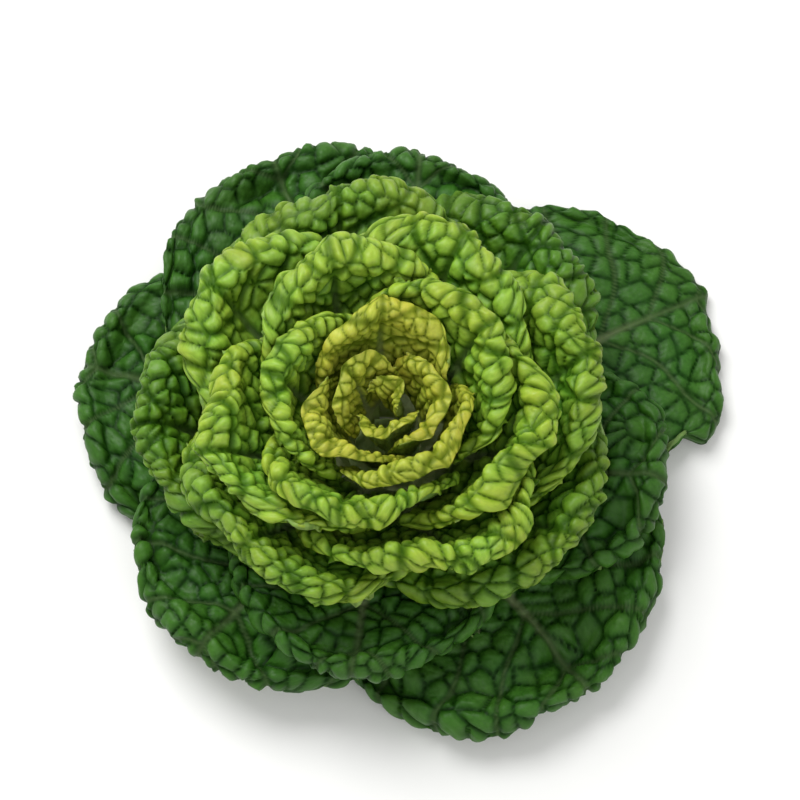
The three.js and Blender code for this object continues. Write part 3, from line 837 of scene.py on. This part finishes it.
@dataclass(frozen=True)
class LeafFinish:
    """Living brassica leaf: waxy skin over puckered green, yellower where it is young or stands proud.

    The eye gets painted shade that darkens the green from a lighter top down into the creases between blisters,
    faint pale veins, a broad whitish petiole, a matt paler underside, and a soft broken gloss.
    """

    name: str
    crease: str
    body: str
    top: str
    young: str
    young_share: float
    roughness: float
    elder: str = ""
    elder_age: float = 1.0
    vein: str = ""
    vein_share: float = 0.0
    petiole: str = "#c4d09a"
    wax: str = "#8fae63"
    wax_share: float = 0.45
    gloss_share: float = 0.4
    young_margin: float = 22.0

    def skin(self, n: Nodes, flat: Socket, rise: Socket) -> Socket:
        """The blade's colour: painted shade from the dark crease colour through the body to a lighter top,
        yellowed in patches and towards the margin.

        Args:
            n: the material's nodes.
            flat: the place on the pressed leaf, in mm.
            rise: 0 in a crease to 1 on top of a blister; it sets the painted shade.

        Returns:
            The colour.
        """
        patches = n.add("ShaderNodeTexNoise", {"Vector": flat, "Scale": PATCHES, "Detail": 3.0}).outputs[0]
        # Painted shade: the colour runs from the dark crease colour down in the creases through the body to the
        # lighter top of each blister.
        colour = n.blend(n.maths("POWER", rise, 0.8), self.crease, self.body)
        proud = n.maths("MULTIPLY_ADD", rise, 1.3, -0.585, clamp=True)
        colour = n.blend(proud, colour, self.top)
        patchy = n.maths("MULTIPLY_ADD", patches, 3.2, -1.28, clamp=True)
        near_edge = n.maths("MULTIPLY_ADD", n.attribute("margin"), -1 / self.young_margin, 1.0, clamp=True)
        young = n.maths("ADD", n.maths("MULTIPLY", patchy, 0.6), n.maths("MULTIPLY", near_edge, 0.4))
        young = n.maths("MULTIPLY", n.maths("MULTIPLY", young, self.young_share), rise, clamp=True)
        colour = n.blend(young, colour, self.young)
        if self.elder:
            years = n.maths("SUBTRACT", n.attribute("age"), self.elder_age)
            years = n.maths("MULTIPLY", years, 4.0, clamp=True)
            colour = n.blend(years, colour, self.elder, "MULTIPLY")
        return colour

    def material(self) -> bpy.types.Material:
        """Builds the leaf material."""
        n = Nodes(self.name)
        flat = n.attribute("flat", "Vector")
        rise = n.attribute("rise")
        speckle = {"Vector": flat, "Scale": MOTTLE, "Detail": 5.0, "Roughness": 0.6}
        mottle = n.add("ShaderNodeTexNoise", speckle).outputs[0]
        colour = self.skin(n, flat, rise)
        shade = n.maths("MULTIPLY_ADD", n.attribute("shade"), 0.22, 0.89)
        grain = n.maths("MULTIPLY_ADD", mottle, 0.5, 0.75)
        value = n.maths("MULTIPLY", shade, grain)
        colour = n.add("ShaderNodeHueSaturation", {"Value": value, "Color": colour}).outputs[0]
        if self.vein:
            colour = n.blend(n.maths("MULTIPLY", n.attribute("vein"), self.vein_share), colour, self.vein)
        colour = n.blend(n.attribute("stalk"), colour, self.petiole)
        colour = n.blend(n.maths("MULTIPLY", n.attribute("underside"), self.wax_share), colour, self.wax)
        n.feed("Base Color", colour)
        n.feed("Roughness", n.maths("MULTIPLY_ADD", mottle, 0.25, self.roughness - 0.12))
        n.feed("Subsurface Weight", 0.12)
        n.feed("Subsurface Radius", (0.4, 0.8, 0.15))
        n.feed("Subsurface Scale", 0.002)
        n.feed("Specular IOR Level", n.maths("MULTIPLY", rise, self.gloss_share))
        small = {"Vector": flat, "Scale": LOBES, "Smoothness": 0.5}
        lobes = n.add("ShaderNodeTexVoronoi", small, feature="SMOOTH_F1").outputs[0]
        pores = n.add("ShaderNodeTexNoise", {"Vector": flat, "Scale": PORES, "Detail": 4.0}).outputs[0]
        puffed = {"Strength": 0.5, "Distance": 0.0007, "Height": lobes}
        first = n.add("ShaderNodeBump", puffed, invert=True).outputs[0]
        pitted = {"Strength": 0.35, "Distance": 0.0002, "Height": pores, "Normal": first}
        n.feed("Normal", n.add("ShaderNodeBump", pitted).outputs[0])
        return n.material


@dataclass(frozen=True)
class StemFinish:
    """Fleshy stem: pale green streaked skin, and moist whitish pith flecked with fibre where it was cut."""

    skin: str = "#b7c78a"
    groove: str = "#8aa35a"
    pith: str = "#dfe3bd"
    fibre: str = "#b5b078"

    def material(self) -> bpy.types.Material:
        """Builds the stem material."""
        n = Nodes("fleshy_stem_skin")
        place = n.add("ShaderNodeTexCoord").outputs["Object"]
        streak = n.add("ShaderNodeMapping", {"Vector": place, "Scale": STREAKS}).outputs[0]
        lines = n.add("ShaderNodeTexNoise", {"Vector": streak, "Scale": 1.0, "Detail": 4.0}).outputs[0]
        spots = n.add("ShaderNodeTexVoronoi", {"Vector": place, "Scale": PITH_CELLS}).outputs[0]
        skin = n.blend(lines, self.groove, self.skin)
        cut = n.blend(spots, self.pith, self.fibre)
        n.feed("Base Color", n.blend(n.attribute("cut"), skin, cut))
        n.feed("Roughness", 0.5)
        n.feed("Subsurface Weight", 0.15)
        n.feed("Subsurface Scale", 0.003)
        grooved = {"Strength": 0.4, "Distance": 0.0004, "Height": lines}
        n.feed("Normal", n.add("ShaderNodeBump", grooved).outputs[0])
        return n.material


# Each crease colour is painted shade: far darker than the leaf's own green, it darkens the creases between
# blisters.
FINISHES = {
    Ring.HEART: LeafFinish(
        name="tatsoi_heart_leaf",
        crease="#384c08",
        body="#7f9620",
        top="#b2c046",
        young="#b6ab34",
        young_share=0.8,
        roughness=0.5,
        elder="#b9dc9b",
        elder_age=0.17,
    ),
    Ring.HEAD: LeafFinish(
        name="tatsoi_head_leaf",
        crease="#153c04",
        body="#578e1c",
        top="#8cba3c",
        young="#a8ad2e",
        young_share=0.7,
        roughness=0.46,
        elder="#86ac78",
        elder_age=0.5,
    ),
    Ring.OUTER: LeafFinish(
        name="tatsoi_outer_leaf",
        crease="#061c02",
        body="#1c4a0c",
        top="#3b6c20",
        young="#4c7020",
        young_share=0.35,
        roughness=0.45,
        vein="#86a668",
        vein_share=0.2,
        gloss_share=0.24,
    ),
}


# ---- Studio ----------------------------------------------------------------------------------------------


@dataclass(frozen=True)
class Studio:
    """A pale floor, one large soft lamp and an even pale sky, seen from above at a steep angle."""

    elevation: float = math.radians(70)
    lens: float = 85.0
    sensor: float = 36.0
    fill: float = 0.86
    floor_colour: str = "#f4f4f2"

    def floor(self) -> bpy.types.Object:
        """The floor at the height of the cut face, with a very fine even grain."""
        side = 3.0
        corners = np.array([[-side, -side, 0], [side, -side, 0], [side, side, 0], [-side, side, 0]])
        item = add_mesh("floor", corners, np.array([[0, 1, 2, 3]]), np.zeros((0, 3), int))
        n = Nodes("pale_matt_floor")
        place = n.add("ShaderNodeTexCoord").outputs["Object"]
        grain = n.add("ShaderNodeTexNoise", {"Vector": place, "Scale": 40.0, "Detail": 3.0}).outputs[0]
        n.feed("Base Color", n.blend(grain, "#f1f1ef", self.floor_colour))
        n.feed("Roughness", 0.8)
        item.data.materials.append(n.material)
        return item

    def lights(self) -> None:
        """A large lamp behind and to the left of the head, and a weak one in front."""
        for name, place, size, power in (
            ("key", (-0.45, 0.65, 1.1), 0.9, 15.0),
            ("front", (0.5, -0.9, 0.9), 1.2, 3.5),
        ):
            lamp = bpy.data.lights.new(name, "AREA")
            lamp.shape, lamp.size, lamp.energy = "DISK", size, power
            item = bpy.data.objects.new(name, lamp)
            item.location = place
            item.rotation_euler = (-Vector(place)).to_track_quat("-Z", "Y").to_euler()
            bpy.context.scene.collection.objects.link(item)

    def sky(self) -> None:
        """An even white sky."""
        world = bpy.data.worlds.new("soft_sky")
        bpy.context.scene.world = world
        world.use_nodes = True
        background = world.node_tree.nodes["Background"]
        background.inputs["Color"].default_value = (1, 1, 1, 1)
        background.inputs["Strength"].default_value = 0.62

    def camera(self, low: Vector, high: Vector) -> None:
        """Points the camera at the middle of the head, as far off as the fill needs."""
        data = bpy.data.cameras.new("camera")
        data.lens, data.sensor_width = self.lens, self.sensor
        middle = (low + high) / 2
        width = max(high.x - low.x, high.y - low.y)
        distance = width * self.lens / (self.sensor * self.fill)
        away = Vector((0, -math.cos(self.elevation), math.sin(self.elevation)))
        item = bpy.data.objects.new("camera", data)
        item.location = middle + away * distance
        item.rotation_euler = (-away).to_track_quat("-Z", "Y").to_euler()
        bpy.context.scene.collection.objects.link(item)
        bpy.context.scene.camera = item
        bpy.context.scene.view_settings.view_transform = "Standard"


# ---- Building --------------------------------------------------------------------------------------------


def place(item: bpy.types.Object, node: str, slot: str, material: bpy.types.Material) -> None:
    """Gives a piece its material, hangs it under the root body and hides the CAD part it stands for."""
    item.data.materials.append(material)
    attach(item, "root")
    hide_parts(node)
    log.info("%s: %d vertices", node, len(item.data.vertices))


def main() -> None:
    """Builds the stem, the leaves from the heart outwards, then the studio."""
    logging.basicConfig(level=logging.INFO, format="%(name)s %(message)s")
    plan = Rosette()
    place(Stem(plan).build(), "stem", "stem", StemFinish().material())
    materials = {ring: finish.material() for ring, finish in FINISHES.items()}
    leaves = [Leaf(plan, plan.figures(index)) for index in range(plan.count)]
    for index, leaf in enumerate(leaves):
        ring = leaf.figures.ring
        place(leaf.build(leaves[index + 1 :]), leaf.figures.name, ring.value, materials[ring])

    studio = Studio()
    studio.floor()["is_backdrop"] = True
    studio.lights()
    studio.sky()
    new_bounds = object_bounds()
    studio.camera(Vector(new_bounds[0]), Vector(new_bounds[1]))


if __name__ == "__main__":
    main()
